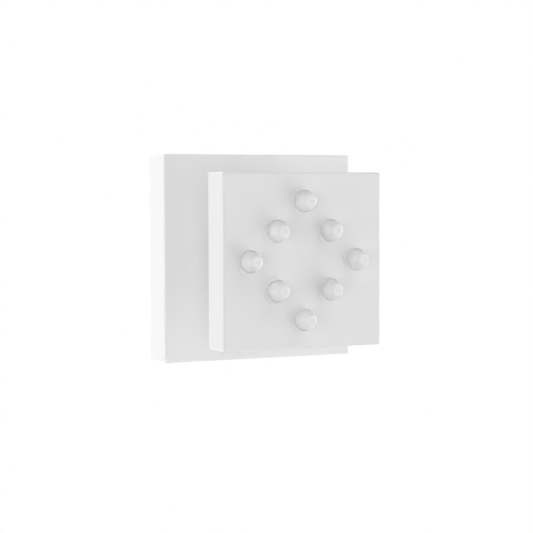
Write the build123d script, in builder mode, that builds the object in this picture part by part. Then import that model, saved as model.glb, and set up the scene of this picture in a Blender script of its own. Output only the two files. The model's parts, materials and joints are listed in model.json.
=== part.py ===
"""Shower body jet: a square wall plate, a ball joint and a square head with eight nozzles.

Sizes are in mm. +Z is up, the front faces -Y and the wall is the plane y = 0.
A depth is the distance out from the wall, so a point at depth d has y = -d.
Sketches on Plane.XZ.offset(d) lie at depth d and extrude outwards from the wall.
"""

import os
from math import acos, cos, degrees, radians, sin, sqrt, tan

from build123d import *

os.makedirs("parts", exist_ok=True)

# Outside of the wall plate and the head
plate_width = 80.0
plate_depth = 14.6
head_width = 65.2
head_depth = 13.8
head_gap = 24.4
edge_fillet = 0.7

# Walls of the wall plate, with its collar, ribs and soft parts
plate_front_wall = 3.0
plate_side_wall = 5.0
plate_rim = 1.8
hollow_corner = 3.0
collar_wall = 2.0
rib_width = 2.0
rib_height = 3.0
wall_gasket_depth = 3.0
o_ring_radius = 0.95
o_ring_slack = 0.25

# Inlet socket for a half-inch pipe thread, at the thread's major radius
thread_radius = 10.5
thread_length = 8.0
thread_chamfer = 1.0
relief_step = 0.5
relief_length = 2.4
washer_bore_radius = 5.6
screen_wall = 0.5
screen_hole_radius = 0.75
screen_pitch = 2.2
screen_ring_count = 6

# Flow regulator behind the screen
regulator_seat_radius = 6.2
regulator_seat_length = 2.8
regulator_rim = 1.0
regulator_recess = 1.1
regulator_pin_radius = 1.25
metering_hole_radius = 0.85
metering_circle_radius = 2.6
metering_count = 6

# Ball stud
stud_wall = 2.0
stud_chamfer = 0.8
hex_back = 1.0
hex_length = 4.7
hex_lip = 1.0
hex_chamfer = 0.6
shoulder_wall = 0.8
neck_radius = 6.3
neck_fillet = 3.0
bore_radius = 4.2
bore_chamfer = 0.8
ball_radius = 10.0
ball_sink = 1.0

# Rings round the ball, with angles counted from the front axis
ring_wall = 1.38
seal_front_polar = 46.0
seal_back_polar = 78.0
retainer_front_polar = 96.0
retainer_back_polar = 120.0
retainer_slit = 1.5

# Swivel nut and the boss that it screws on to
boss_wall = 2.4
boss_tail = 1.5
nut_wall = 2.45
nut_lip = 1.6
nut_grip_tail = 3.0
nut_head_gap = 0.8
nut_chamfer = 0.6
mouth_polar = 118.0
mouth_length = 2.5
mouth_flare = 0.9
flute_count = 24
flute_radius = 1.2
flute_bite = 0.55
flute_lead = 1.0

# Walls of the head, with its cover and screws
head_rim = 2.5
head_side_wall = 4.5
face_wall = 2.5
cover_wall = 3.0
cover_corner = 1.0
cover_gasket_wall = 1.0
water_hole_radius = 5.5
post_radius = 3.5
post_inset = 3.0
screw_radius = 1.45
screw_head_radius = 2.9
countersink_angle = 90.0
screw_end_wall = 2.5
pilot_run_out = 1.0
drive_width = 2.0
drive_depth = 1.2

# Nozzles, the low rims round them on the face and the plate that holds them
nozzle_radius = 4.05
nozzle_reach = 6.0
nozzle_tip_radius = 2.4
nozzle_nose_fillet = 0.9
nozzle_lip = 1.0
nozzle_lip_wall = 1.2
nozzle_margin = 1.05
face_rim_wall = 1.05
face_rim_height = 0.25
orifice_radius = 0.2
orifice_length = 1.4
jet_hole_radius = 2.0
jet_wall = 2.0
prop_radius = 2.0
prop_count = 4

# Clearances between pieces that fit each other
slide_gap = 0.25
ring_gap = 0.12
seat_gap = 0.1
tight_gap = 0.05
loose_gap = 0.3

# Depths of the main planes
head_back = plate_depth + head_gap
head_front = head_back + head_depth
face_back = head_front - face_wall
cover_front = head_back + cover_wall
gasket_front = cover_front + cover_gasket_wall
rim_front = head_front + face_rim_height
nozzle_tip = head_front + nozzle_reach
ball_depth = head_back + ball_sink - ball_radius


def profile_point(radius, depth):
    """A point of a turned profile drawn on Plane.XY and revolved about the Y axis."""
    return (radius, -depth)


def sphere_point(radius, polar):
    """A profile point on a sphere about the ball's centre, polar degrees from the front axis."""
    angle = radians(polar)
    return profile_point(radius * sin(angle), ball_depth + radius * cos(angle))


def sphere_polar(radius, depth):
    """Degrees from the front axis at which a sphere about the ball's centre reaches this depth."""
    return degrees(acos((depth - ball_depth) / radius))


def sphere_half_chord(radius, distance):
    """Half the chord that a sphere leaves on a line at this distance from its centre."""
    return sqrt(radius**2 - distance**2)


# Inlet and stud sizes that the wall plate fits
relief_radius = thread_radius + relief_step
stud_radius = relief_radius + stud_wall
hex_width = 2 * (stud_radius + hex_lip)
hex_front = hex_back + hex_length

# Wall plate: hollow behind, with a collar that slides on the stud
stud_hole_radius = stud_radius + slide_gap
groove_radius = stud_radius + 2 * (o_ring_radius + tight_gap)
groove_width = 2 * (o_ring_radius + o_ring_slack)
collar_radius = groove_radius + collar_wall
collar_back = hex_front + loose_gap
groove_depth = (collar_back + plate_depth) / 2
rebate_width = plate_width - 2 * plate_rim
hollow_width = plate_width - 2 * plate_side_wall
hollow_front = plate_depth - plate_front_wall
rib_length = hollow_width + rib_width

with BuildPart() as wall_flange:
    with BuildSketch(Plane.XZ):
        Rectangle(plate_width, plate_width)
    extrude(amount=plate_depth)
    plate_edges = wall_flange.edges().filter_by(Axis.Y)
    plate_edges += wall_flange.faces().sort_by(Axis.Y)[0].edges()
    fillet(plate_edges, radius=edge_fillet)
    with BuildSketch(Plane.XZ):
        Rectangle(rebate_width, rebate_width)
    extrude(amount=wall_gasket_depth, mode=Mode.SUBTRACT)
    with BuildSketch(Plane.XZ.offset(wall_gasket_depth)):
        RectangleRounded(hollow_width, hollow_width, hollow_corner)
    extrude(amount=hollow_front - wall_gasket_depth, mode=Mode.SUBTRACT)
    with BuildSketch(Plane.XZ.offset(collar_back)):
        Circle(collar_radius)
    extrude(amount=plate_depth - collar_back)
    with BuildSketch(Plane.XZ.offset(hollow_front - rib_height)):
        Rectangle(rib_length, rib_width)
        Rectangle(rib_width, rib_length)
    extrude(amount=rib_height)
    with BuildSketch(Plane.XZ):
        Circle(stud_hole_radius)
    extrude(amount=plate_depth, mode=Mode.SUBTRACT)
    with BuildSketch(Plane.XZ.offset(groove_depth - groove_width / 2)):
        Circle(groove_radius)
    extrude(amount=groove_width, mode=Mode.SUBTRACT)
wall_flange.part.label = "wall_flange"
export_step(wall_flange.part, "parts/wall_flange.step")

# Soft frame between the plate and the wall
wall_gasket_width = rebate_width - 2 * seat_gap

with BuildPart() as wall_gasket:
    with BuildSketch(Plane.XZ):
        Rectangle(wall_gasket_width, wall_gasket_width)
        RectangleRounded(hollow_width, hollow_width, hollow_corner, mode=Mode.SUBTRACT)
    extrude(amount=wall_gasket_depth)
wall_gasket.part.label = "wall_gasket"
export_step(wall_gasket.part, "parts/wall_gasket.step")

# Friction ring in the collar's groove
o_ring_circle_radius = stud_radius + tight_gap + o_ring_radius

with BuildPart() as flange_o_ring:
    with BuildSketch(Plane.XY):
        with Locations(profile_point(o_ring_circle_radius, groove_depth)):
            Circle(o_ring_radius)
    revolve(axis=Axis.Y)
flange_o_ring.part.label = "flange_o_ring"
export_step(flange_o_ring.part, "parts/flange_o_ring.step")

# Ball stud: hexagon, threaded socket, neck and ball turned from one bar
thread_back = hex_back + thread_chamfer
thread_front = thread_back + thread_length
relief_front = thread_front + relief_length
regulator_seat_front = relief_front + regulator_seat_length
shoulder_depth = max(plate_depth, regulator_seat_front) + shoulder_wall
ball_front = ball_depth + ball_radius
ball_mouth = ball_depth + sphere_half_chord(ball_radius, bore_radius)
bore_flare_radius = bore_radius + bore_chamfer

with BuildPart() as ball_stud:
    with BuildSketch(Plane.XY):
        with BuildLine():
            Polyline(
                profile_point(neck_radius, shoulder_depth + neck_fillet),
                profile_point(neck_radius, ball_depth),
                profile_point(0, ball_depth),
                profile_point(0, hex_back),
                profile_point(stud_radius, hex_back),
                profile_point(stud_radius, shoulder_depth - stud_chamfer),
                profile_point(stud_radius - stud_chamfer, shoulder_depth),
                profile_point(neck_radius + neck_fillet, shoulder_depth),
            )
            TangentArc(
                profile_point(neck_radius + neck_fillet, shoulder_depth),
                profile_point(neck_radius, shoulder_depth + neck_fillet),
                tangent=(-1, 0),
            )
        make_face()
    revolve(axis=Axis.Y)
    with BuildSketch(Plane.XY):
        with BuildLine():
            ThreePointArc(
                profile_point(0, ball_depth - ball_radius),
                profile_point(ball_radius, ball_depth),
                profile_point(0, ball_front),
            )
            Line(profile_point(0, ball_front), profile_point(0, ball_depth - ball_radius))
        make_face()
    revolve(axis=Axis.Y)
    with BuildSketch(Plane.XZ.offset(hex_back)):
        RegularPolygon(radius=hex_width / 2, side_count=6, major_radius=False)
    extrude(amount=hex_length)
    hex_rim = ball_stud.faces().sort_by(Axis.Y)[-1].edges().filter_by(GeomType.LINE)
    chamfer(hex_rim, length=hex_chamfer)
    with BuildSketch(Plane.XY):
        with BuildLine():
            Polyline(
                profile_point(0, hex_back),
                profile_point(thread_radius + thread_chamfer, hex_back),
                profile_point(thread_radius, thread_back),
                profile_point(thread_radius, thread_front),
                profile_point(relief_radius, thread_front),
                profile_point(relief_radius, relief_front),
                profile_point(regulator_seat_radius, relief_front),
                profile_point(regulator_seat_radius, regulator_seat_front),
                profile_point(bore_radius, regulator_seat_front),
                profile_point(bore_radius, ball_mouth - bore_chamfer),
                profile_point(bore_flare_radius, ball_mouth),
                profile_point(bore_flare_radius, ball_front),
                profile_point(0, ball_front),
                close=True,
            )
        make_face()
    revolve(axis=Axis.Y, mode=Mode.SUBTRACT)
ball_stud.part.label = "ball_stud"
export_step(ball_stud.part, "parts/ball_stud.step")

# Flat washer in the thread relief
washer_radius = relief_radius - seat_gap
screen_back = relief_front - tight_gap - screen_wall
washer_back = thread_front + seat_gap
washer_front = screen_back - tight_gap

with BuildPart() as inlet_washer:
    with BuildSketch(Plane.XZ.offset(washer_back)):
        Circle(washer_radius)
        Circle(washer_bore_radius, mode=Mode.SUBTRACT)
    extrude(amount=washer_front - washer_back)
inlet_washer.part.label = "inlet_washer"
export_step(inlet_washer.part, "parts/inlet_washer.step")

# Perforated screen under the washer
with BuildPart() as filter_screen:
    with BuildSketch(Plane.XZ.offset(screen_back)):
        Circle(washer_radius)
        Circle(screen_hole_radius, mode=Mode.SUBTRACT)
        with PolarLocations(screen_pitch, screen_ring_count):
            Circle(screen_hole_radius, mode=Mode.SUBTRACT)
        with PolarLocations(2 * screen_pitch, 2 * screen_ring_count):
            Circle(screen_hole_radius, mode=Mode.SUBTRACT)
    extrude(amount=screen_wall)
filter_screen.part.label = "filter_screen"
export_step(filter_screen.part, "parts/filter_screen.step")

# Flow regulator: a recessed disc with a centre pin and a ring of metering holes
regulator_radius = regulator_seat_radius - seat_gap
regulator_back = relief_front + tight_gap
regulator_front = regulator_seat_front - tight_gap

with BuildPart() as flow_regulator:
    with BuildSketch(Plane.XZ.offset(regulator_back)):
        Circle(regulator_radius)
        with PolarLocations(metering_circle_radius, metering_count):
            Circle(metering_hole_radius, mode=Mode.SUBTRACT)
    extrude(amount=regulator_front - regulator_back)
    with BuildSketch(Plane.XZ.offset(regulator_back)):
        Circle(regulator_radius - regulator_rim)
        Circle(regulator_pin_radius, mode=Mode.SUBTRACT)
    extrude(amount=regulator_recess, mode=Mode.SUBTRACT)
flow_regulator.part.label = "flow_regulator"
export_step(flow_regulator.part, "parts/flow_regulator.step")

# Rings round the ball: both faces of each are spheres about the ball's centre
ring_inner = ball_radius + ring_gap
ring_outer = ring_inner + ring_wall
socket_radius = ring_outer + ring_gap


def ring_section(front_polar, back_polar):
    """Draw the section of a ring that lies between two angles from the front axis."""
    middle_polar = (front_polar + back_polar) / 2
    ThreePointArc(
        sphere_point(ring_outer, front_polar),
        sphere_point(ring_outer, middle_polar),
        sphere_point(ring_outer, back_polar),
    )
    Line(sphere_point(ring_outer, back_polar), sphere_point(ring_inner, back_polar))
    ThreePointArc(
        sphere_point(ring_inner, back_polar),
        sphere_point(ring_inner, middle_polar),
        sphere_point(ring_inner, front_polar),
    )
    Line(sphere_point(ring_inner, front_polar), sphere_point(ring_outer, front_polar))


with BuildPart() as ball_retainer:
    with BuildSketch(Plane.XY):
        with BuildLine():
            ring_section(retainer_front_polar, retainer_back_polar)
        make_face()
    revolve(axis=Axis.Y)
    with BuildSketch(Plane.XZ.offset(ball_depth - ring_outer)):
        with Locations((0, ring_outer)):
            Rectangle(retainer_slit, ring_outer)
    extrude(amount=2 * ring_outer, mode=Mode.SUBTRACT)
ball_retainer.part.label = "ball_retainer"
export_step(ball_retainer.part, "parts/ball_retainer.step")

with BuildPart() as ball_seal:
    with BuildSketch(Plane.XY):
        with BuildLine():
            ring_section(seal_front_polar, seal_back_polar)
        make_face()
    revolve(axis=Axis.Y)
ball_seal.part.label = "ball_seal"
export_step(ball_seal.part, "parts/ball_seal.step")

# Nut that pulls the head's boss on to the ball
boss_radius = socket_radius + boss_wall
boss_back = ball_depth - boss_tail
nut_bore_radius = boss_radius + tight_gap
nut_radius = nut_bore_radius + nut_wall
nut_front = head_back - nut_head_gap
nut_shoulder = boss_back - seat_gap
nut_seat_radius = sphere_half_chord(socket_radius, ball_depth - nut_shoulder)
nut_grip_back = ball_depth - nut_grip_tail
mouth_radius = socket_radius * sin(radians(mouth_polar))
mouth_depth = ball_depth + socket_radius * cos(radians(mouth_polar))
mouth_back_radius = mouth_radius + mouth_flare
nut_back = mouth_depth - mouth_length
nut_back_radius = mouth_back_radius + nut_lip
nut_seat_polar = (sphere_polar(socket_radius, nut_shoulder) + mouth_polar) / 2
flute_circle_radius = nut_radius + flute_radius - flute_bite
flute_back = nut_grip_back + flute_lead

with BuildPart() as swivel_nut:
    with BuildSketch(Plane.XY):
        with BuildLine():
            Polyline(
                profile_point(mouth_radius, mouth_depth),
                profile_point(mouth_back_radius, nut_back),
                profile_point(nut_back_radius, nut_back),
                profile_point(nut_radius, nut_grip_back),
                profile_point(nut_radius, nut_front - nut_chamfer),
                profile_point(nut_radius - nut_chamfer, nut_front),
                profile_point(nut_bore_radius, nut_front),
                profile_point(nut_bore_radius, nut_shoulder),
                profile_point(nut_seat_radius, nut_shoulder),
            )
            ThreePointArc(
                profile_point(nut_seat_radius, nut_shoulder),
                sphere_point(socket_radius, nut_seat_polar),
                profile_point(mouth_radius, mouth_depth),
            )
        make_face()
    revolve(axis=Axis.Y)
    with BuildSketch(Plane.XZ.offset(flute_back)):
        with PolarLocations(flute_circle_radius, flute_count):
            Circle(flute_radius)
    extrude(amount=nut_front - flute_back, mode=Mode.SUBTRACT)
swivel_nut.part.label = "swivel_nut"
export_step(swivel_nut.part, "parts/swivel_nut.step")

# Places and fits inside the head
recess_width = head_width - 2 * head_rim
chamber_width = head_width - 2 * head_side_wall
cover_width = recess_width - 2 * slide_gap
screw_spacing = chamber_width - 2 * post_inset
screw_hole_radius = screw_radius + slide_gap
screw_length = head_depth - face_wall - screw_end_wall

# Back of the head: plate, threaded boss and the front half of the ball's seat
socket_front = ball_depth + sphere_half_chord(socket_radius, water_hole_radius)
socket_back_radius = sphere_half_chord(socket_radius, boss_tail)
socket_middle_polar = (sphere_polar(socket_radius, socket_front) + sphere_polar(socket_radius, boss_back)) / 2
cover_back_plane = Plane(origin=(0, -head_back, 0), x_dir=(1, 0, 0), z_dir=(0, 1, 0))

with BuildPart() as head_cover:
    with BuildSketch(Plane.XZ.offset(head_back)):
        RectangleRounded(cover_width, cover_width, cover_corner)
    extrude(amount=cover_wall)
    with BuildSketch(Plane.XZ.offset(boss_back)):
        Circle(boss_radius)
    extrude(amount=cover_front - boss_back)
    with BuildSketch(Plane.XY):
        with BuildLine():
            Polyline(
                profile_point(water_hole_radius, socket_front),
                profile_point(water_hole_radius, cover_front),
                profile_point(0, cover_front),
                profile_point(0, boss_back),
                profile_point(socket_back_radius, boss_back),
            )
            ThreePointArc(
                profile_point(socket_back_radius, boss_back),
                sphere_point(socket_radius, socket_middle_polar),
                profile_point(water_hole_radius, socket_front),
            )
        make_face()
    revolve(axis=Axis.Y, mode=Mode.SUBTRACT)
    with Locations(cover_back_plane):
        with GridLocations(screw_spacing, screw_spacing, 2, 2):
            CounterSinkHole(
                radius=screw_hole_radius,
                counter_sink_radius=screw_head_radius + seat_gap,
                depth=cover_wall,
                counter_sink_angle=countersink_angle,
            )
head_cover.part.label = "head_cover"
export_step(head_cover.part, "parts/head_cover.step")

# Gasket between cover and front, with a pad round each screw
with BuildPart() as cover_gasket:
    with BuildSketch(Plane.XZ.offset(cover_front)):
        RectangleRounded(cover_width, cover_width, cover_corner)
        Rectangle(chamber_width, chamber_width, mode=Mode.SUBTRACT)
        with GridLocations(screw_spacing, screw_spacing, 2, 2):
            Circle(post_radius)
        with GridLocations(screw_spacing, screw_spacing, 2, 2):
            Circle(screw_hole_radius, mode=Mode.SUBTRACT)
    extrude(amount=cover_gasket_wall)
cover_gasket.part.label = "cover_gasket"
export_step(cover_gasket.part, "parts/cover_gasket.step")

# Places of the nozzles: a square standing on its corner
nozzle_hole_radius = nozzle_radius + seat_gap
nozzle_lip_radius = nozzle_radius + nozzle_lip
nozzle_offset = chamber_width / 2 - nozzle_lip_radius - nozzle_margin
nozzle_half = nozzle_offset / 2
nozzle_places = {
    "nozzle_top": (0, nozzle_offset),
    "nozzle_upper_right": (nozzle_half, nozzle_half),
    "nozzle_right": (nozzle_offset, 0),
    "nozzle_lower_right": (nozzle_half, -nozzle_half),
    "nozzle_bottom": (0, -nozzle_offset),
    "nozzle_lower_left": (-nozzle_half, -nozzle_half),
    "nozzle_left": (-nozzle_offset, 0),
    "nozzle_upper_left": (-nozzle_half, nozzle_half),
}

# Front of the head: a box open behind, with a post for each cover screw
pilot_front = head_back + screw_length + pilot_run_out

with BuildPart() as head_shell:
    with BuildSketch(Plane.XZ.offset(head_back)):
        Rectangle(head_width, head_width)
    extrude(amount=head_depth)
    fillet(head_shell.edges(), radius=edge_fillet)
    with BuildSketch(Plane.XZ.offset(head_back)):
        RectangleRounded(recess_width, recess_width, cover_corner)
    extrude(amount=gasket_front - head_back, mode=Mode.SUBTRACT)
    with BuildSketch(Plane.XZ.offset(gasket_front)):
        Rectangle(chamber_width, chamber_width)
    extrude(amount=face_back - gasket_front, mode=Mode.SUBTRACT)
    with BuildSketch(Plane.XZ.offset(gasket_front)):
        with GridLocations(screw_spacing, screw_spacing, 2, 2):
            Circle(post_radius)
    extrude(amount=face_back - gasket_front)
    with BuildSketch(Plane.XZ.offset(gasket_front)):
        with GridLocations(screw_spacing, screw_spacing, 2, 2):
            Circle(screw_radius + tight_gap)
    extrude(amount=pilot_front - gasket_front, mode=Mode.SUBTRACT)
    with BuildSketch(Plane.XZ.offset(head_front)):
        with Locations(*nozzle_places.values()):
            Circle(nozzle_hole_radius + face_rim_wall)
    extrude(amount=face_rim_height)
    with Locations(Plane.XZ.offset(rim_front)):
        with Locations(*nozzle_places.values()):
            Hole(radius=nozzle_hole_radius, depth=rim_front - face_back)
head_shell.part.label = "head_shell"
export_step(head_shell.part, "parts/head_shell.step")

# Plate that holds the nozzle lips against the face, propped from the cover
jet_front = face_back - nozzle_lip_wall
jet_back = jet_front - jet_wall
jet_plate_width = chamber_width - 2 * slide_gap
jet_notch_width = 2 * (post_radius + loose_gap)
prop_back = cover_front + tight_gap

with BuildPart() as jet_plate:
    with BuildSketch(Plane.XZ.offset(jet_back)):
        Rectangle(jet_plate_width, jet_plate_width)
        with GridLocations(screw_spacing, screw_spacing, 2, 2):
            Rectangle(jet_notch_width, jet_notch_width, mode=Mode.SUBTRACT)
        with Locations(*nozzle_places.values()):
            Circle(jet_hole_radius, mode=Mode.SUBTRACT)
    extrude(amount=jet_wall)
    with BuildSketch(Plane.XZ.offset(prop_back)):
        with PolarLocations(nozzle_half, prop_count):
            Circle(prop_radius)
    extrude(amount=jet_back - prop_back)
jet_plate.part.label = "jet_plate"
export_step(jet_plate.part, "parts/jet_plate.step")

# Countersunk cover screws with a hexagon recess
screw_head_depth = (screw_head_radius - screw_radius) / tan(radians(countersink_angle / 2))
screw_places = GridLocations(screw_spacing, screw_spacing, 2, 2).local_locations

with BuildPart() as cover_screws:
    for screw_place in screw_places:
        screw_x = screw_place.position.X
        screw_z = screw_place.position.Y
        with BuildSketch(Plane((screw_x, 0, screw_z), x_dir=(1, 0, 0), z_dir=(0, 0, 1))):
            with BuildLine():
                Polyline(
                    profile_point(0, head_back),
                    profile_point(screw_head_radius, head_back),
                    profile_point(screw_radius, head_back + screw_head_depth),
                    profile_point(screw_radius, head_back + screw_length),
                    profile_point(0, head_back + screw_length),
                    close=True,
                )
            make_face()
        revolve(axis=Axis((screw_x, 0, screw_z), (0, 1, 0)))
    with BuildSketch(Plane.XZ.offset(head_back)):
        with GridLocations(screw_spacing, screw_spacing, 2, 2):
            RegularPolygon(radius=drive_width / 2, side_count=6, major_radius=False)
    extrude(amount=drive_depth, mode=Mode.SUBTRACT)
cover_screws.part.label = "cover_screws"
export_step(cover_screws.part, "parts/cover_screws.step")

# Nozzles: a lip behind the face, a stem through it and a tapered spout with a rounded nose
nozzle_back = jet_front + tight_gap
nozzle_shoulder = face_back - tight_gap
funnel_front = nozzle_tip - orifice_length

for nozzle_name, (nozzle_x, nozzle_z) in nozzle_places.items():
    with BuildPart() as nozzle:
        with BuildSketch(Plane((nozzle_x, 0, nozzle_z), x_dir=(1, 0, 0), z_dir=(0, 0, 1))):
            with BuildLine():
                Polyline(
                    profile_point(nozzle_tip_radius, nozzle_tip),
                    profile_point(orifice_radius, nozzle_tip),
                    profile_point(orifice_radius, funnel_front),
                    profile_point(jet_hole_radius, nozzle_back),
                    profile_point(nozzle_lip_radius, nozzle_back),
                    profile_point(nozzle_lip_radius, nozzle_shoulder),
                    profile_point(nozzle_radius, nozzle_shoulder),
                    profile_point(nozzle_radius, rim_front),
                    close=True,
                )
            make_face()
        revolve(axis=Axis((nozzle_x, 0, nozzle_z), (0, 1, 0)))
        tip_face = nozzle.faces().sort_by(Axis.Y)[0]
        fillet(tip_face.edges().sort_by(SortBy.RADIUS)[-1], radius=nozzle_nose_fillet)
    nozzle.part.label = nozzle_name
    export_step(nozzle.part, f"parts/{nozzle_name}.step")
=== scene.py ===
"""Dress a square shower body jet: matt white paint, soft white nozzles and bright metal at the wall.

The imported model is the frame. Sizes in the classes are in mm and turn to metres where a mesh or
a light is made. The wall is the plane y = 0, the front faces -Y and +Z is up, so a depth is the
distance out from the wall.
"""

import json
import logging
import math
from collections.abc import Callable, Mapping, Sequence
from dataclasses import dataclass, field, replace
from enum import Enum

import bmesh
import bpy
from mathutils import Matrix, Vector


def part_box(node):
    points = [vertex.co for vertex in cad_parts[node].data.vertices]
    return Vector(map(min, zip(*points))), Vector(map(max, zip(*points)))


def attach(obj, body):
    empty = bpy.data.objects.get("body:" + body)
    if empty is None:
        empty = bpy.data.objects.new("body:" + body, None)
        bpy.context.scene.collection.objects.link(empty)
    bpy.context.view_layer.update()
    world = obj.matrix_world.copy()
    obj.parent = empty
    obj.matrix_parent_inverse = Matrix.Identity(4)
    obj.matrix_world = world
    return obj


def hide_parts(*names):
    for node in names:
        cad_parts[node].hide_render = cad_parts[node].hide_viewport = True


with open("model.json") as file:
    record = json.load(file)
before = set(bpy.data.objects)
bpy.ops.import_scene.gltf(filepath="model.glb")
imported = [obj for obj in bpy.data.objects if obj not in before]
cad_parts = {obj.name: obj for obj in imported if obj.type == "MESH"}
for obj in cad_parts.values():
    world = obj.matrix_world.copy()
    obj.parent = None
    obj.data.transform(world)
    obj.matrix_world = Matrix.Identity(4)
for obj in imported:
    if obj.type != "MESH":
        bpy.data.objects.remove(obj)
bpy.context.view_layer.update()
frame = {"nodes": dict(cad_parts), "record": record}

MM = 0.001
RIGHT_ANGLE = 90.0
WHITE = (1.0, 1.0, 1.0, 1.0)
FULL_STRENGTH = 1.0

# Distance in metres within which two points count as one
SAME_POINT = 1e-6

# Rotation that stands a flat ring or sheet up, to face along Y
UPRIGHT = (math.pi / 2, 0.0, 0.0)

# sRGB: its top level, the end and slope of its straight part, and the power part's offset and power
SRGB_TOP = 255
SRGB_KNEE = 0.04045
SRGB_SLOPE = 12.92
SRGB_OFFSET = 0.055
SRGB_POWER = 2.4

# Sockets of a Mix node that are found by number: its factor, its two colours and its result
MIX_FACTOR = 0
MIX_FIRST = 6
MIX_SECOND = 7
MIX_RESULT = 2

# Radius and depth of a corner in a turned section, in mm
Corner = tuple[float, float]

log = logging.getLogger("body_jet")


class Body(str, Enum):
    """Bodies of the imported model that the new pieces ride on."""

    WALL_MOUNT = "wall_mount"
    HEAD = "head"


class Slot(str, Enum):
    """Finishes that the record names."""

    PAINT = "matt_white_paint"
    SILICONE = "white_silicone"
    CHROME = "chromed_brass"
    RUBBER = "black_rubber"
    FOAM = "grey_foam_rubber"
    WHITE_PLASTIC = "white_plastic"
    GREY_PLASTIC = "grey_plastic"
    STEEL = "stainless_steel"


def linear(colour: str) -> tuple[float, float, float, float]:
    """Turn an sRGB hex colour to a linear one.

    Args:
        colour: the colour as "#RRGGBB".

    Returns:
        Linear red, green and blue, with an alpha of 1.
    """
    levels = []
    for share in (level / SRGB_TOP for level in bytes.fromhex(colour.removeprefix("#"))):
        if share <= SRGB_KNEE:
            levels.append(share / SRGB_SLOPE)
        else:
            levels.append(((share + SRGB_OFFSET) / (1 + SRGB_OFFSET)) ** SRGB_POWER)
    red, green, blue = levels
    return (red, green, blue, 1.0)


def add_node(
    tree: bpy.types.NodeTree,
    kind: str,
    values: Mapping[str | int, object] | None = None,
    links: Mapping[str | int, bpy.types.NodeSocket] | None = None,
    **settings: object,
) -> bpy.types.Node:
    """Add a node with its settings, input values and links.

    Args:
        tree: the node tree that gets the node.
        kind: the node's type name.
        values: constant input values, by input name or number.
        links: sockets that feed inputs, by input name or number.
        settings: attributes of the node itself.

    Returns:
        The new node.
    """
    node = tree.nodes.new(kind)
    for name, value in settings.items():
        setattr(node, name, value)
    for name, value in (values or {}).items():
        node.inputs[name].default_value = value
    for name, socket in (links or {}).items():
        tree.links.new(socket, node.inputs[name])
    return node


def clear_selection() -> None:
    """Deselect everything, so that the next operator acts on its own object alone."""
    bpy.ops.object.select_all(action="DESELECT")


def dress_node(node: str, material: bpy.types.Material) -> None:
    """Give every material slot of a CAD node one material.

    Args:
        node: the node's name.
        material: the finish that it gets.
    """
    part = frame["nodes"][node]
    if not part.material_slots:
        part.data.materials.append(material)
    for holder in part.material_slots:
        holder.material = material
    log.info("dressed %s in %s", node, material.name)


def add_piece(
    piece: bpy.types.Object,
    body: Body,
    material: bpy.types.Material,
    stands_for: str = "",
) -> None:
    """Complete a new piece: its material, its body and the node that it replaces.

    Args:
        piece: the modelled object.
        body: the body that it rides on.
        material: the material made from that finish.
        stands_for: the CAD node that it replaces, or nothing.
    """
    piece.data.materials.clear()
    piece.data.materials.append(material)
    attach(piece, body.value)
    if stands_for:
        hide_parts(stands_for)
    log.info("built %s on %s, %d faces", piece.name, body.value, len(piece.data.polygons))


def name_piece(name: str) -> bpy.types.Object:
    """Name the active object and its mesh, and put its place into the mesh.

    Args:
        name: the piece's name.

    Returns:
        The active object.
    """
    piece = bpy.context.view_layer.objects.active
    piece.name = name
    piece.data.name = name
    bpy.ops.object.transform_apply(location=True, rotation=True, scale=True)
    return piece


def select_edges(piece: bpy.types.Object, chosen: Callable[[bmesh.types.BMEdge], bool]) -> None:
    """In edit mode, select just the edges that pass a test.

    Args:
        piece: the object in edit mode.
        chosen: the test of an edge.
    """
    bpy.ops.mesh.select_mode(type="EDGE")
    bpy.ops.mesh.select_all(action="DESELECT")
    mesh = bmesh.from_edit_mesh(piece.data)
    for edge in mesh.edges:
        edge.select_set(chosen(edge))
    bmesh.update_edit_mesh(piece.data)


def leave_edit_mode(piece: bpy.types.Object, smooth_deg: float) -> None:
    """Turn all faces outwards, leave edit mode and smooth the gentle edges.

    Args:
        piece: the object in edit mode.
        smooth_deg: the sharpest edge that is smoothed, in degrees.
    """
    bpy.ops.mesh.select_mode(type="VERT")
    bpy.ops.mesh.select_all(action="SELECT")
    bpy.ops.mesh.normals_make_consistent(inside=False)
    bpy.ops.object.mode_set(mode="OBJECT")
    bpy.ops.object.shade_smooth_by_angle(angle=math.radians(smooth_deg))


def turned_ring(
    name: str, section: Sequence[Corner], sides: int, smooth_deg: float
) -> bpy.types.Object:
    """Turn a closed section about the Y axis by extruding one ring after another.

    Args:
        name: the piece's name.
        section: radius and depth of each corner in mm, in order round the section.
        sides: corners of each ring.
        smooth_deg: the sharpest edge that is smoothed, in degrees.

    Returns:
        The finished object, on the Y axis.
    """
    clear_selection()
    radius, depth = section[0]
    bpy.ops.mesh.primitive_circle_add(
        vertices=sides, radius=radius * MM, location=(0, -depth * MM, 0), rotation=UPRIGHT
    )
    piece = name_piece(name)
    bpy.ops.object.mode_set(mode="EDIT")
    bpy.ops.mesh.select_all(action="SELECT")
    for next_radius, next_depth in section[1:]:
        step = (0, (depth - next_depth) * MM, 0)
        bpy.ops.mesh.extrude_edges_move(TRANSFORM_OT_translate={"value": step})
        share = next_radius / radius
        bpy.ops.transform.resize(value=(share, 1, share), center_override=(0, -next_depth * MM, 0))
        radius, depth = next_radius, next_depth
    select_edges(piece, lambda edge: edge.is_boundary)
    bpy.ops.mesh.bridge_edge_loops()
    leave_edit_mode(piece, smooth_deg)
    return piece


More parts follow.
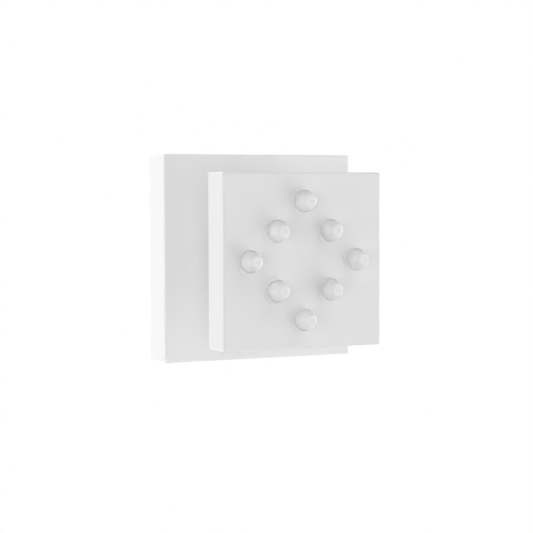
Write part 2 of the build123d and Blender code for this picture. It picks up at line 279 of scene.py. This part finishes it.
def arc(
    start: Corner, end: Corner, start_angle: float, end_angle: float, steps: int
) -> list[Corner]:
    """Points of an elliptic arc in a section, without its first point.

    Args:
        start: radius and depth where the arc starts.
        end: radius and depth where it ends.
        start_angle: the ellipse's angle at the start in degrees, 0 along the radius and 90 along
            the depth.
        end_angle: the ellipse's angle at the end.
        steps: how many points.

    Returns:
        Radius and depth of each point.
    """
    first, last = math.radians(start_angle), math.radians(end_angle)
    half_width = (start[0] - end[0]) / (math.cos(first) - math.cos(last))
    half_depth = (end[1] - start[1]) / (math.sin(last) - math.sin(first))
    radius = start[0] - half_width * math.cos(first)
    depth = start[1] - half_depth * math.sin(first)
    turns = [first + (last - first) * (i + 1) / steps for i in range(steps)]
    return [(radius + half_width * math.cos(t), depth + half_depth * math.sin(t)) for t in turns]


@dataclass(frozen=True)
class Finish:
    """A finish on one principled shader, with its pattern in Object coordinates."""

    slot: Slot
    name: str
    colour: str
    roughness: float
    metallic: float = 0.0
    ior: float = 1.5

    def make(self) -> bpy.types.Material:
        """Build the material.

        Returns:
            The new material.
        """
        material = bpy.data.materials.new(self.name)
        material.use_nodes = True
        tree = material.node_tree
        tree.nodes.clear()
        place = add_node(tree, "ShaderNodeTexCoord").outputs["Object"]
        shader = add_node(
            tree,
            "ShaderNodeBsdfPrincipled",
            {
                "Base Color": linear(self.colour),
                "Roughness": self.roughness,
                "Metallic": self.metallic,
                "IOR": self.ior,
            },
        )
        add_node(tree, "ShaderNodeOutputMaterial", links={"Surface": shader.outputs["BSDF"]})
        self.detail(tree, shader, place)
        return material

    def detail(
        self, tree: bpy.types.NodeTree, shader: bpy.types.Node, place: bpy.types.NodeSocket
    ) -> None:
        """Add the finish's own pattern.

        Args:
            tree: the material's node tree.
            shader: its principled shader.
            place: Object coordinates.
        """
        raise NotImplementedError


@dataclass(frozen=True, kw_only=True)
class GrainedFinish(Finish):
    """A finish with a fine bump, and patches that are a little paler and smoother than the rest."""

    patch_colour: str
    patch_mm: float
    patch_roughness: float
    patch_detail: float = 2.0
    patch_breakup: float = 0.5
    grain_mm: float
    grain_height_mm: float
    grain_detail: float = 3.0
    grain_breakup: float = 0.55
    grain_stretch: tuple[float, float, float] = (1.0, 1.0, 1.0)

    def detail(
        self, tree: bpy.types.NodeTree, shader: bpy.types.Node, place: bpy.types.NodeSocket
    ) -> None:
        """Add the patches and the grain.

        Args:
            tree: the material's node tree.
            shader: its principled shader.
            place: Object coordinates.
        """
        patches = add_node(
            tree,
            "ShaderNodeTexNoise",
            {
                "Scale": 1 / (self.patch_mm * MM),
                "Detail": self.patch_detail,
                "Roughness": self.patch_breakup,
            },
            {"Vector": place},
        ).outputs["Fac"]
        colour = add_node(
            tree,
            "ShaderNodeMix",
            {MIX_FIRST: linear(self.colour), MIX_SECOND: linear(self.patch_colour)},
            {MIX_FACTOR: patches},
            data_type="RGBA",
        )
        gloss = add_node(
            tree,
            "ShaderNodeMapRange",
            {"To Min": self.roughness, "To Max": self.patch_roughness},
            {"Value": patches},
        )
        stretched = add_node(
            tree, "ShaderNodeMapping", {"Scale": self.grain_stretch}, {"Vector": place}
        )
        grain = add_node(
            tree,
            "ShaderNodeTexNoise",
            {
                "Scale": 1 / (self.grain_mm * MM),
                "Detail": self.grain_detail,
                "Roughness": self.grain_breakup,
            },
            {"Vector": stretched.outputs["Vector"]},
        )
        bump = add_node(
            tree,
            "ShaderNodeBump",
            {"Strength": FULL_STRENGTH, "Distance": self.grain_height_mm * MM},
            {"Height": grain.outputs["Fac"]},
        )
        tree.links.new(colour.outputs[MIX_RESULT], shader.inputs["Base Color"])
        tree.links.new(gloss.outputs["Result"], shader.inputs["Roughness"])
        tree.links.new(bump.outputs["Normal"], shader.inputs["Normal"])


@dataclass(frozen=True)
class SiliconeFinish(GrainedFinish):
    """Moulded silicone, which lets a little light in under its skin."""

    glow: float = 0.12
    glow_mm: float = 1.2
    glow_reach: tuple[float, float, float] = (1.0, 0.92, 0.86)

    def detail(
        self, tree: bpy.types.NodeTree, shader: bpy.types.Node, place: bpy.types.NodeSocket
    ) -> None:
        """Add the grain and the light under the skin.

        Args:
            tree: the material's node tree.
            shader: its principled shader.
            place: Object coordinates.
        """
        super().detail(tree, shader, place)
        shader.inputs["Subsurface Weight"].default_value = self.glow
        shader.inputs["Subsurface Radius"].default_value = self.glow_reach
        shader.inputs["Subsurface Scale"].default_value = self.glow_mm * MM


@dataclass(frozen=True)
class FoamFinish(Finish):
    """Closed-cell foam rubber: a dull skin with the cut bubbles showing as small pits, painted darker
    in their middles as painted shade.
    """

    cell_mm: float = 0.6
    pit_height_mm: float = 0.12
    pit_shade_colour: str = "#3A3A3C"

    def detail(
        self, tree: bpy.types.NodeTree, shader: bpy.types.Node, place: bpy.types.NodeSocket
    ) -> None:
        """Add the cut bubbles: their dents as a bump, and painted shade in them.

        Args:
            tree: the material's node tree.
            shader: its principled shader.
            place: Object coordinates.
        """
        cells = add_node(
            tree,
            "ShaderNodeTexVoronoi",
            {"Scale": 1 / (self.cell_mm * MM)},
            {"Vector": place},
            feature="F1",
        ).outputs["Distance"]
        # Painted shade: the pits are painted darker towards their middles, where shade would fall
        colour = add_node(
            tree,
            "ShaderNodeMix",
            {MIX_FIRST: linear(self.pit_shade_colour), MIX_SECOND: linear(self.colour)},
            {MIX_FACTOR: cells},
            data_type="RGBA",
        )
        bump = add_node(
            tree,
            "ShaderNodeBump",
            {"Strength": FULL_STRENGTH, "Distance": self.pit_height_mm * MM},
            {"Height": cells},
        )
        tree.links.new(colour.outputs[MIX_RESULT], shader.inputs["Base Color"])
        tree.links.new(bump.outputs["Normal"], shader.inputs["Normal"])


# Polyester powder coat, sprayed and baked: an even matt white with a faint orange peel
POWDER_COAT = GrainedFinish(
    Slot.PAINT, "white_powder_coat", "#E6E6E6", 0.62, patch_colour="#E3E3E3", patch_mm=26.0,
    patch_roughness=0.56, grain_mm=0.9, grain_height_mm=0.004,
)
# The same powder coat on the head, painted a shade greyer than the plate's as painted shade, so the
# head looks less lit than the plate
HEAD_COAT_PAINTED_SHADE = replace(
    POWDER_COAT, name="white_powder_coat_painted_shade", colour="#DFDFDF", patch_colour="#DCDCDC"
)
# Liquid silicone rubber, moulded: a soft satin white that glows a little at thin edges
SILICONE = SiliconeFinish(
    Slot.SILICONE, "white_silicone_rubber", "#E1E1E1", 0.5, ior=1.41, patch_colour="#DFDFDE",
    patch_mm=6.0, patch_roughness=0.44, grain_mm=0.35, grain_height_mm=0.003,
)
# Polished brass under bright chrome: a cool mirror with faint turning waves
CHROMED_BRASS = GrainedFinish(
    Slot.CHROME, "bright_chromed_brass", "#D6D8DB", 0.1, 1.0, patch_colour="#CDCFD3",
    patch_mm=9.0, patch_roughness=0.16, grain_mm=0.5, grain_height_mm=0.0012,
    grain_stretch=(0.15, 1.0, 0.15),
)
# Nitrile rubber, moulded: a dull charcoal black with a dusty grain
BLACK_RUBBER = GrainedFinish(
    Slot.RUBBER, "black_nitrile_rubber", "#1E1E1F", 0.72, ior=1.52, patch_colour="#2A2A2B",
    patch_mm=3.0, patch_roughness=0.6, grain_mm=0.25, grain_height_mm=0.008,
)
# Closed-cell foam, die-cut from sheet: a soft mid grey with tiny pits, their shade painted in darker
FOAM = FoamFinish(Slot.FOAM, "grey_cell_foam", "#6A6A6C", 0.9)
# Acetal, moulded: a creamy white with a low waxy gloss
WHITE_ACETAL = GrainedFinish(
    Slot.WHITE_PLASTIC, "white_acetal", "#E2E0DA", 0.42, ior=1.48, patch_colour="#DCDAD3",
    patch_mm=8.0, patch_roughness=0.36, grain_mm=0.3, grain_height_mm=0.003,
)
# Nylon, moulded: a plain mid grey with a low gloss
GREY_NYLON = GrainedFinish(
    Slot.GREY_PLASTIC, "grey_nylon", "#565A5E", 0.48, ior=1.53, patch_colour="#4E5256",
    patch_mm=4.0, patch_roughness=0.4, grain_mm=0.3, grain_height_mm=0.004,
)
# Stainless sheet and wire, rolled: a warm grey metal with a fine rolled grain
STAINLESS = GrainedFinish(
    Slot.STEEL, "rolled_stainless_steel", "#B4B2AE", 0.3, 1.0, patch_colour="#A6A4A0",
    patch_mm=5.0, patch_roughness=0.38, grain_mm=0.3, grain_height_mm=0.003,
    grain_stretch=(0.08, 1.0, 1.0),
)
FINISHES = (
    POWDER_COAT, HEAD_COAT_PAINTED_SHADE, SILICONE, CHROMED_BRASS, BLACK_RUBBER, FOAM, WHITE_ACETAL, GREY_NYLON,
    STAINLESS,
)


@dataclass
class SubAssembly:
    """A part of the object: the materials, and the CAD nodes that keep their shape, by finish."""

    materials: dict[Finish, bpy.types.Material]
    nodes: dict[Finish, tuple[str, ...]] = field(default_factory=dict)

    def build(self) -> None:
        """Model the pieces that the CAD leaves out or shows too plainly: none here."""

    def dress(self) -> None:
        """Give each CAD node its finish."""
        for finish, names in self.nodes.items():
            for name in names:
                dress_node(name, self.materials[finish])


@dataclass
class WallMount(SubAssembly):
    """Wall plate, its soft parts and the ball stud with its inlet, a half-inch pipe thread."""

    nodes: dict[Finish, tuple[str, ...]] = field(
        default_factory=lambda: {
            POWDER_COAT: ("wall_flange",),
            CHROMED_BRASS: ("ball_stud",),
            BLACK_RUBBER: ("flange_o_ring", "inlet_washer"),
            STAINLESS: ("filter_screen",),
            GREY_NYLON: ("flow_regulator",),
        }
    )
    thread_pitch: float = 1.814
    thread_root: float = 10.55
    thread_crest: float = 9.32
    thread_root_width: float = 1.5
    thread_crest_width: float = 0.35
    thread_back: float = 2.05
    thread_front: float = 9.95
    thread_steps: int = 72
    thread_smooth_deg: float = 30.0
    foam_clear: float = 1.0
    foam_round: float = 0.5
    foam_round_steps: int = 3
    foam_corner: float = 3.0
    foam_corner_steps: int = 8
    foam_smooth_deg: float = 40.0

    def build(self) -> None:
        """Model the inlet's thread and the foam frame."""
        self.build_thread()
        self.build_foam()

    def build_thread(self) -> None:
        """Sweep one ridge round the socket as a right-hand screw and trim it to the socket."""
        clear_selection()
        height = self.thread_root - self.thread_crest
        middle = (self.thread_root + self.thread_crest) / 2
        start = self.thread_front + self.thread_pitch
        turns = math.ceil((start - self.thread_back) / self.thread_pitch) + 1
        bpy.ops.mesh.primitive_plane_add(size=MM, location=(middle * MM, -start * MM, 0))
        ridge = bpy.context.view_layer.objects.active
        ridge.scale = (height, self.thread_root_width, 1)
        ridge = name_piece("inlet_thread")
        bpy.ops.object.mode_set(mode="EDIT")
        select_edges(ridge, lambda edge: all(v.co.x < middle * MM for v in edge.verts))
        taper = self.thread_crest_width / self.thread_root_width
        bpy.ops.transform.resize(value=(1, taper, 1), center_override=(0, -start * MM, 0))
        bpy.ops.mesh.select_all(action="SELECT")
        bpy.ops.mesh.delete(type="ONLY_FACE")
        bpy.ops.object.mode_set(mode="OBJECT")
        screw = ridge.modifiers.new("thread", "SCREW")
        screw.axis = "Y"
        screw.angle = 2 * math.pi
        screw.screw_offset = self.thread_pitch * MM
        screw.iterations = turns
        screw.steps = screw.render_steps = self.thread_steps
        bpy.ops.object.modifier_apply(modifier=screw.name)
        bpy.ops.object.mode_set(mode="EDIT")
        bpy.ops.mesh.select_all(action="SELECT")
        bpy.ops.mesh.remove_doubles(threshold=SAME_POINT)
        for depth, outwards in ((self.thread_back, 1), (self.thread_front, -1)):
            bpy.ops.mesh.select_all(action="SELECT")
            bpy.ops.mesh.bisect(
                plane_co=(0, -depth * MM, 0),
                plane_no=(0, outwards, 0),
                use_fill=True,
                clear_outer=True,
            )
        leave_edit_mode(ridge, self.thread_smooth_deg)
        add_piece(ridge, Body.WALL_MOUNT, self.materials[CHROMED_BRASS])

    def build_foam(self) -> None:
        """Cut the foam frame from a sheet and soften its edges."""
        clear_selection()
        low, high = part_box("wall_gasket")
        outer, deep = high[0] - low[0], high[1] - low[1]
        inner = self.window_width()
        bpy.ops.mesh.primitive_plane_add(size=outer, location=(0, high[1], 0), rotation=UPRIGHT)
        foam = name_piece("wall_gasket_foam")
        bpy.ops.object.mode_set(mode="EDIT")
        bpy.ops.mesh.select_all(action="SELECT")
        bpy.ops.mesh.inset(thickness=(outer - inner) / 2)
        bpy.ops.mesh.delete(type="FACE")
        self.round_corners(foam, inner)
        bpy.ops.mesh.select_all(action="SELECT")
        bpy.ops.mesh.extrude_region_move(TRANSFORM_OT_translate={"value": (0, -deep, 0)})
        bpy.ops.mesh.select_all(action="SELECT")
        bpy.ops.mesh.normals_make_consistent(inside=False)
        bpy.ops.object.mode_set(mode="OBJECT")
        soften = foam.modifiers.new("soft_edges", "BEVEL")
        soften.width = self.foam_round * MM
        soften.segments = self.foam_round_steps
        soften.limit_method = "ANGLE"
        bpy.ops.object.modifier_apply(modifier=soften.name)
        bpy.ops.object.mode_set(mode="EDIT")
        leave_edit_mode(foam, self.foam_smooth_deg)
        add_piece(foam, Body.WALL_MOUNT, self.materials[FOAM], "wall_gasket")

    def window_width(self) -> float:
        """Work out the frame's window: clear of the openings that the record states behind the plate.

        Returns:
            The width in metres.
        """
        openings = frame["record"]["physics"]["openings"]
        corners = [corner for opening in openings for corner in opening["box_m"]]
        reach = max(abs(value) for corner in corners for value in corner)
        return 2 * (reach + self.foam_clear * MM)

    def round_corners(self, foam: bpy.types.Object, inner: float) -> None:
        """In edit mode, round the four corners of the frame's window.

        Args:
            foam: the flat frame.
            inner: width of the window in metres.
        """
        bpy.ops.mesh.select_mode(type="VERT")
        bpy.ops.mesh.select_all(action="DESELECT")
        mesh = bmesh.from_edit_mesh(foam.data)
        for vertex in mesh.verts:
            reach = max(abs(vertex.co.x), abs(vertex.co.z))
            vertex.select_set(reach < inner / 2 + SAME_POINT)
        bmesh.update_edit_mesh(foam.data)
        bpy.ops.mesh.bevel(
            offset=self.foam_corner * MM, segments=self.foam_corner_steps, affect="VERTICES"
        )


@dataclass
class BallJoint(SubAssembly):
    """Rings round the ball, and the nut that pulls the head on to it."""

    nodes: dict[Finish, tuple[str, ...]] = field(
        default_factory=lambda: {
            WHITE_ACETAL: ("ball_retainer",),
            BLACK_RUBBER: ("ball_seal",),
            HEAD_COAT_PAINTED_SHADE: ("swivel_nut",),
        }
    )


@dataclass
class SprayHead(SubAssembly):
    """Head with its cover, gasket and screws, and the plate that holds the nozzles."""

    nodes: dict[Finish, tuple[str, ...]] = field(
        default_factory=lambda: {
            HEAD_COAT_PAINTED_SHADE: ("head_shell", "head_cover"),
            WHITE_ACETAL: ("jet_plate",),
            BLACK_RUBBER: ("cover_gasket",),
            STAINLESS: ("cover_screws",),
        }
    )


@dataclass
class NozzleSet(SubAssembly):
    """Eight silicone nozzles, each with a lip behind the face and a spout with a fine orifice.

    A spout stands in a shallow groove inside the rim of its hole. Its flank is an arc: with a lean
    below 0 at the foot it swells a little before it tapers to the shoulder and the rounded nose.
    """

    names: tuple[str, ...] = field(
        default_factory=lambda: tuple(
            name for name in frame["nodes"] if name.startswith("nozzle_")
        )
    )
    lip_wall: float = 1.1
    lip_round: float = 0.3
    neck_radius: float = 4.05
    groove_depth: float = 0.12
    foot_radius: float = 3.5
    foot_round: float = 0.1
    foot_lean_deg: float = -14.0
    shoulder_radius: float = 2.4
    nose: float = 0.45
    flat_radius: float = 1.7
    dimple_radius: float = 0.8
    dimple_depth: float = 0.18
    orifice_radius: float = 0.12
    orifice_length: float = 1.4
    inlet_radius: float = 2.0
    round_steps: int = 4
    flank_steps: int = 16
    nose_steps: int = 12
    sides: int = 72
    smooth_deg: float = 40.0

    def section(self, lip_radius: float, back: float, face: float, tip: float) -> list[Corner]:
        """Section of one nozzle, from the water inlet round the outside to the orifice.

        Args:
            lip_radius: radius of the lip behind the face.
            back: depth of the rear of the lip.
            face: depth of the rim round the nozzle's hole.
            tip: depth of the tip.

        Returns:
            Radius and depth of each corner in mm.
        """
        lip_front = back + self.lip_wall
        lip_edge = (lip_radius - self.lip_round, back)
        lip_side = (lip_radius, back + self.lip_round)
        groove = face - self.groove_depth
        foot = (self.foot_radius, groove + self.foot_round)
        shoulder = (self.shoulder_radius, tip - self.nose)
        flat = (self.flat_radius, tip)
        flank_deg = math.degrees(math.atan2(foot[0] - shoulder[0], shoulder[1] - foot[1]))
        shoulder_lean = 2 * flank_deg - self.foot_lean_deg
        corners = [(self.inlet_radius, back), lip_edge]
        corners += arc(lip_edge, lip_side, -RIGHT_ANGLE, 0.0, self.round_steps)
        corners += [(lip_radius, lip_front), (self.neck_radius, lip_front)]
        corners += [(self.neck_radius, groove), (self.foot_radius + self.foot_round, groove), foot]
        corners += arc(foot, shoulder, self.foot_lean_deg, shoulder_lean, self.flank_steps)
        corners += arc(shoulder, flat, shoulder_lean, RIGHT_ANGLE, self.nose_steps)
        corners += [(self.dimple_radius, tip), (self.orifice_radius, tip - self.dimple_depth)]
        corners += [(self.orifice_radius, tip - self.orifice_length)]
        return corners

    def build(self) -> None:
        """Turn one nozzle on the Y axis and set a copy in each hole of the face."""
        low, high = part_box(self.names[0])
        lip_radius = (high[0] - low[0]) / 2 / MM
        face = -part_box("head_shell")[0][1] / MM
        section = self.section(lip_radius, -high[1] / MM, face, -low[1] / MM)
        pattern = turned_ring("nozzle_pattern", section, self.sides, self.smooth_deg)
        for name in self.names:
            low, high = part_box(name)
            clear_selection()
            pattern.select_set(True)
            bpy.context.view_layer.objects.active = pattern
            bpy.ops.object.duplicate(linked=False)
            hole = ((low[0] + high[0]) / 2, 0, (low[2] + high[2]) / 2)
            bpy.ops.transform.translate(value=hole)
            nozzle = name_piece(f"soft_{name}")
            add_piece(nozzle, Body.HEAD, self.materials[SILICONE], name)
        bpy.data.objects.remove(pattern)


@dataclass(frozen=True)
class SoftLight:
    """A square soft light that looks at the object, with lengths in mm and angles in degrees."""

    name: str
    watts: float
    side: float
    azimuth: float
    elevation: float
    distance: float

    def build(self, aim: Vector) -> None:
        """Hang the light.

        Args:
            aim: the point that it faces.
        """
        turn = math.radians(self.azimuth)
        lift = math.radians(self.elevation)
        level = math.cos(lift)
        out = Vector((math.sin(turn) * level, -math.cos(turn) * level, math.sin(lift)))
        data = bpy.data.lights.new(self.name, "AREA")
        data.shape = "SQUARE"
        data.size = self.side * MM
        data.energy = self.watts
        lamp = bpy.data.objects.new(self.name, data)
        lamp.location = aim + out * self.distance * MM
        lamp.rotation_euler = out.to_track_quat("Z", "Y").to_euler()
        lamp.visible_camera = False
        bpy.context.scene.collection.objects.link(lamp)


@dataclass
class Studio:
    """White room, soft lights, floor and camera, with lengths in mm and angles in degrees."""

    sensor: float = 36.0
    lens: float = 104.34
    azimuth: float = -25.75
    elevation: float = 2.7
    roll: float = 0.19
    distance: float = 619.2
    aim: tuple[float, float, float] = (8.2, -4.01, -4.42)
    nearest: float = 10.0
    farthest: float = 100_000.0
    ambient: float = 0.25
    floor_drop: float = 1300.0
    floor_side: float = 8000.0
    floor_colour: str = "#F2F2F2"
    floor_glow: float = 0.45
    lights_aim: tuple[float, float, float] = (0.0, 0.0, 0.0)
    # Name, watts, side, azimuth, elevation and distance of each
    lights: tuple[SoftLight, ...] = (
        SoftLight("key_right", 3.51, 700.0, 72.0, 0.0, 1000.0),
        SoftLight("key_low", 3.86, 700.0, 60.0, -37.0, 1000.0),
        SoftLight("fill_high", 2.69, 700.0, 45.0, 50.0, 1000.0),
        SoftLight("fill_front", 0.93, 700.0, 25.0, -12.0, 1000.0),
        SoftLight("fill_left", 3.5, 700.0, -30.0, 0.0, 1000.0),
        SoftLight("side_left", 1.38, 400.0, -80.0, 0.0, 600.0),
        SoftLight("rim_left", 0.89, 400.0, -130.0, 25.0, 600.0),
        SoftLight("rim_high", 2.05, 400.0, -170.0, 50.0, 600.0),
        SoftLight("rim_low", 2.45, 400.0, -150.0, -50.0, 600.0),
    )

    def build(self) -> None:
        """Set the view, the room, the floor, the lights and the camera."""
        bpy.context.scene.view_settings.view_transform = "Standard"
        self.build_room()
        self.build_floor()
        for light in self.lights:
            light.build(Vector(self.lights_aim) * MM)
        self.build_camera()

    def seen_directly(self, tree: bpy.types.NodeTree) -> bpy.types.NodeSocket:
        """Add the test for rays that show a backdrop: from the camera, a gloss or a clear wall.

        Args:
            tree: the node tree that gets it.

        Returns:
            A socket that is 1 for such a ray.
        """
        path = add_node(tree, "ShaderNodeLightPath").outputs
        seen = path["Is Camera Ray"]
        for name in ("Is Glossy Ray", "Is Transmission Ray"):
            either = {0: seen, 1: path[name]}
            seen = add_node(tree, "ShaderNodeMath", links=either, operation="MAXIMUM").outputs[0]
        return seen

    def build_room(self) -> None:
        """Make the room white all round to the eye, and dimmer than that as a light."""
        world = bpy.data.worlds.new("white_room")
        bpy.context.scene.world = world
        world.use_nodes = True
        tree = world.node_tree
        tree.nodes.clear()
        light = add_node(tree, "ShaderNodeBackground", {"Color": WHITE, "Strength": self.ambient})
        white = add_node(
            tree, "ShaderNodeBackground", {"Color": WHITE, "Strength": FULL_STRENGTH}
        )
        mix = add_node(
            tree,
            "ShaderNodeMixShader",
            links={0: self.seen_directly(tree), 1: light.outputs[0], 2: white.outputs[0]},
        )
        add_node(tree, "ShaderNodeOutputWorld", links={"Surface": mix.outputs[0]})

    def build_floor(self) -> None:
        """Lay a pale floor well below, which glows a little to the eye and keeps shadows."""
        material = bpy.data.materials.new("pale_floor")
        material.use_nodes = True
        tree = material.node_tree
        tree.nodes.clear()
        matt = add_node(tree, "ShaderNodeBsdfDiffuse", {"Color": linear(self.floor_colour)})
        glow = add_node(
            tree,
            "ShaderNodeMath",
            {1: self.floor_glow},
            {0: self.seen_directly(tree)},
            operation="MULTIPLY",
        )
        lit = add_node(
            tree, "ShaderNodeEmission", {"Color": WHITE}, {"Strength": glow.outputs[0]}
        )
        both = add_node(tree, "ShaderNodeAddShader", links={0: matt.outputs[0], 1: lit.outputs[0]})
        add_node(tree, "ShaderNodeOutputMaterial", links={"Surface": both.outputs[0]})
        clear_selection()
        bpy.ops.mesh.primitive_plane_add(
            size=self.floor_side * MM, location=(0, 0, -self.floor_drop * MM)
        )
        floor = name_piece("floor")
        floor.data.materials.append(material)

    def build_camera(self) -> None:
        """Stand the camera at the photograph's viewing angle."""
        turn = math.radians(self.azimuth)
        tilt = math.radians(RIGHT_ANGLE - self.elevation)
        roll = math.radians(-self.roll)
        look = Matrix.Identity(4)
        for angle, axis in ((turn, "Z"), (tilt, "X"), (roll, "Z")):
            look = look @ Matrix.Rotation(angle, 4, axis)
        data = bpy.data.cameras.new("camera")
        data.lens = self.lens
        data.sensor_width = self.sensor
        data.clip_start = self.nearest * MM
        data.clip_end = self.farthest * MM
        camera = bpy.data.objects.new("camera", data)
        back = look @ Vector((0, 0, self.distance * MM))
        camera.matrix_world = Matrix.Translation(Vector(self.aim) * MM + back) @ look
        bpy.context.scene.collection.objects.link(camera)
        bpy.context.scene.camera = camera


def main() -> None:
    """Build the object's pieces, dress them and set up the studio."""
    logging.basicConfig(level=logging.INFO, format="%(name)s: %(message)s")
    materials = {finish: finish.make() for finish in FINISHES}
    for kind in (WallMount, BallJoint, SprayHead, NozzleSet):
        assembly = kind(materials)
        assembly.build()
        assembly.dress()
    Studio().build()


if __name__ == "__main__":
    main()
